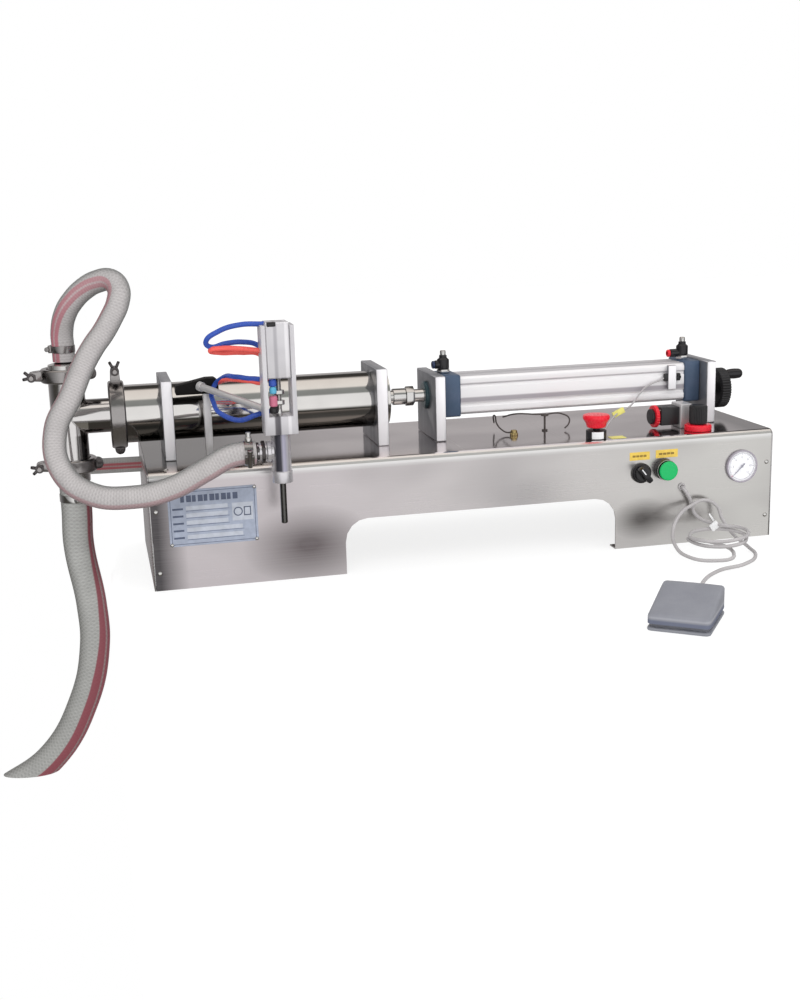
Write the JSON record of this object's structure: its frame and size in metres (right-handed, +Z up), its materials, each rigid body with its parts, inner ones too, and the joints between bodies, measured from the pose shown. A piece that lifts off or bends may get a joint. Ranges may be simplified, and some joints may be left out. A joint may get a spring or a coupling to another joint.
{
  "type": "piston liquid filler",
  "caption": "Benchtop pneumatic piston filler: air cylinder, polished measuring tube, check-valve tee, hoses, filling nozzle, stainless base with controls and a foot pedal.",
  "frame": {"origin": "centre of the deck's top face; the bench is 170 mm below", "axes": "+X from the product tee towards the handwheel, -Y towards the operator, +Z up"},
  "size_m": [1.2399, 0.7054, 0.778],
  "materials": {
    "stainless_sheet": "brushed, rounded bends",
    "polished_steel": "mirror polished stainless",
    "aluminium_plate": "satin milled",
    "anodised_barrel": "clear anodised extrusion",
    "blue_cap": "matt slate blue",
    "black_plastic": "matt",
    "red_plastic": "gloss",
    "white_plastic": "satin",
    "green_plastic": "gloss",
    "clear_hose": "translucent reinforced hose with two pink-red stripes",
    "grey_plastic": "fine moulded grain",
    "grey_cable": "satin jacket"
  },
  "bodies": {
    "base": {"air_barrel": "anodised_barrel", "air_cap_front": "blue_cap", "air_cap_rear": "blue_cap", "arm_post": "black_plastic", "arm_rod": "polished_steel", "base_shell": "stainless_sheet", "cylinder_plate_front": "aluminium_plate", "cylinder_plate_rear": "aluminium_plate", "discharge_hose": "clear_hose", "end_panel_left": "stainless_sheet", "end_panel_right": "stainless_sheet", "estop_body": "white_plastic", "flow_body_front": "black_plastic", "flow_body_rear": "black_plastic", "gauge_case": "white_plastic", "inlet_valve_body": "polished_steel", "lower_clamp": "polished_steel", "main_clamp": "polished_steel", "nozzle_body": "polished_steel", "nozzle_cylinder": "aluminium_plate", "nozzle_frame": "aluminium_plate", "nozzle_tip": "polished_steel", "outlet_valve_body": "polished_steel", "pedal_base": "grey_plastic", "pedal_cable": "grey_cable", "product_tube": "polished_steel", "regulator_body": "red_plastic", "selector_bezel": "black_plastic", "solenoid_valve": "black_plastic", "start_bezel": "black_plastic", "suction_hose": "clear_hose", "tee_body": "polished_steel", "throttle_body": "aluminium_plate", "tube_plate_left": "aluminium_plate", "tube_plate_right": "aluminium_plate", "upper_clamp": "polished_steel"},
    "piston": {"product_piston": "polished_steel", "rod_coupling": "polished_steel", "air_rod": "polished_steel", "air_piston": "aluminium_plate"},
    "stop_pad": {"stop_bumper": "black_plastic"},
    "wheel": {"stop_spindle": "polished_steel", "handwheel": "black_plastic"},
    "grip": {"handwheel_grip": "black_plastic"},
    "estop_press": {"estop_stem": "black_plastic"},
    "estop_turn": {"estop_head": "red_plastic"},
    "selector": {"selector_knob": "black_plastic"},
    "start": {"start_button": "green_plastic"},
    "needle": {"gauge_needle": "black_plastic"},
    "regulator_dial": {"regulator_knob": "black_plastic"},
    "throttle_dial": {"throttle_knob": "red_plastic"},
    "front_flow_screw": {"flow_screw_front": "polished_steel"},
    "rear_flow_screw": {"flow_screw_rear": "polished_steel"},
    "main_nut": {"main_wing_nut": "polished_steel"},
    "upper_nut": {"upper_wing_nut": "polished_steel"},
    "lower_nut": {"lower_wing_nut": "polished_steel"},
    "outlet_check": {"outlet_poppet": "polished_steel"},
    "inlet_check": {"inlet_poppet": "polished_steel"},
    "plunger": {"nozzle_plunger": "polished_steel"},
    "treadle": {"pedal_treadle": "grey_plastic"}
  },
  "joints": [
    {"name": "piston_stroke", "type": "slide", "parent": "base", "child": "piston", "axis": [-1, 0, 0], "range_m": [0, 0.3]},
    {"name": "stop_feed", "type": "slide", "parent": "base", "child": "stop_pad", "axis": [1, 0, 0], "range_m": [0, 0.015]},
    {"name": "handwheel_turn", "type": "hinge", "parent": "stop_pad", "child": "wheel", "pos_m": [0.455, 0, 0.0465], "axis": [1, 0, 0], "range_deg": [0, 1800]},
    {"name": "grip_spin", "type": "hinge", "parent": "wheel", "child": "grip", "pos_m": [0.483, 0, 0.068], "axis": [1, 0, 0], "continuous": true},
    {"name": "estop_push", "type": "slide", "parent": "base", "child": "estop_press", "axis": [0, 0, -1], "range_m": [0, 0.004], "stiffness_N_per_m": 1500},
    {"name": "estop_twist", "type": "hinge", "parent": "estop_press", "child": "estop_turn", "pos_m": [0.198, -0.118, 0.028], "axis": [0, 0, -1], "range_deg": [0, 40]},
    {"name": "selector_turn", "type": "hinge", "parent": "base", "child": "selector", "pos_m": [0.2605, -0.16, -0.053], "axis": [0, 1, 0], "range_deg": [-90, 0]},
    {"name": "start_push", "type": "slide", "parent": "base", "child": "start", "axis": [0, 1, 0], "range_m": [0, 0.004], "stiffness_N_per_m": 800},
    {"name": "needle_sweep", "type": "hinge", "parent": "base", "child": "needle", "pos_m": [0.4275, -0.1485, -0.0545], "axis": [0, 1, 0], "range_deg": [0, 270]},
    {"name": "regulator_turn", "type": "hinge", "parent": "base", "child": "regulator_dial", "pos_m": [0.37, -0.11, 0.02], "axis": [0, 0, 1], "range_deg": [-720, 720]},
    {"name": "throttle_turn", "type": "hinge", "parent": "base", "child": "throttle_dial", "pos_m": [0.3143, -0.07, 0.019], "axis": [1, 0, 0], "range_deg": [0, 1080]},
    {"name": "flow_front_turn", "type": "hinge", "parent": "base", "child": "front_flow_screw", "pos_m": [-0.01, 0, 0.13], "axis": [0, 0, 1], "range_deg": [0, 1800]},
    {"name": "flow_rear_turn", "type": "hinge", "parent": "base", "child": "rear_flow_screw", "pos_m": [0.392, 0, 0.13], "axis": [0, 0, 1], "range_deg": [0, 1800]},
    {"name": "main_nut_turn", "type": "hinge", "parent": "base", "child": "main_nut", "pos_m": [-0.51065, -0.0153, 0.131], "axis": [0, -1, 0], "range_deg": [0, 720]},
    {"name": "upper_nut_turn", "type": "hinge", "parent": "base", "child": "upper_nut", "pos_m": [-0.6285, -0.0153, 0.1283], "axis": [0, -1, 0], "range_deg": [0, 720]},
    {"name": "lower_nut_turn", "type": "hinge", "parent": "base", "child": "lower_nut", "pos_m": [-0.6285, -0.0153, -0.0054], "axis": [0, -1, 0], "range_deg": [0, 720]},
    {"name": "outlet_lift", "type": "slide", "parent": "base", "child": "outlet_check", "axis": [0, 0, 1], "range_m": [0, 0.005]},
    {"name": "inlet_lift", "type": "slide", "parent": "base", "child": "inlet_check", "axis": [0, 0, 1], "range_m": [0, 0.005]},
    {"name": "plunger_lift", "type": "slide", "parent": "base", "child": "plunger", "axis": [0, 0, 1], "range_m": [0, 0.012]},
    {"name": "treadle_press", "type": "hinge", "parent": "base", "child": "treadle", "pos_m": [0.20169, -0.45727, -0.16], "axis": [0.7986, -0.6018, 0], "range_deg": [0, 3], "stiffness_Nm_per_rad": 30}
  ],
  "couplings": [
    {"joint": "stop_feed", "follows": "handwheel_turn", "m_per_rad": 0.000477}
  ]
}
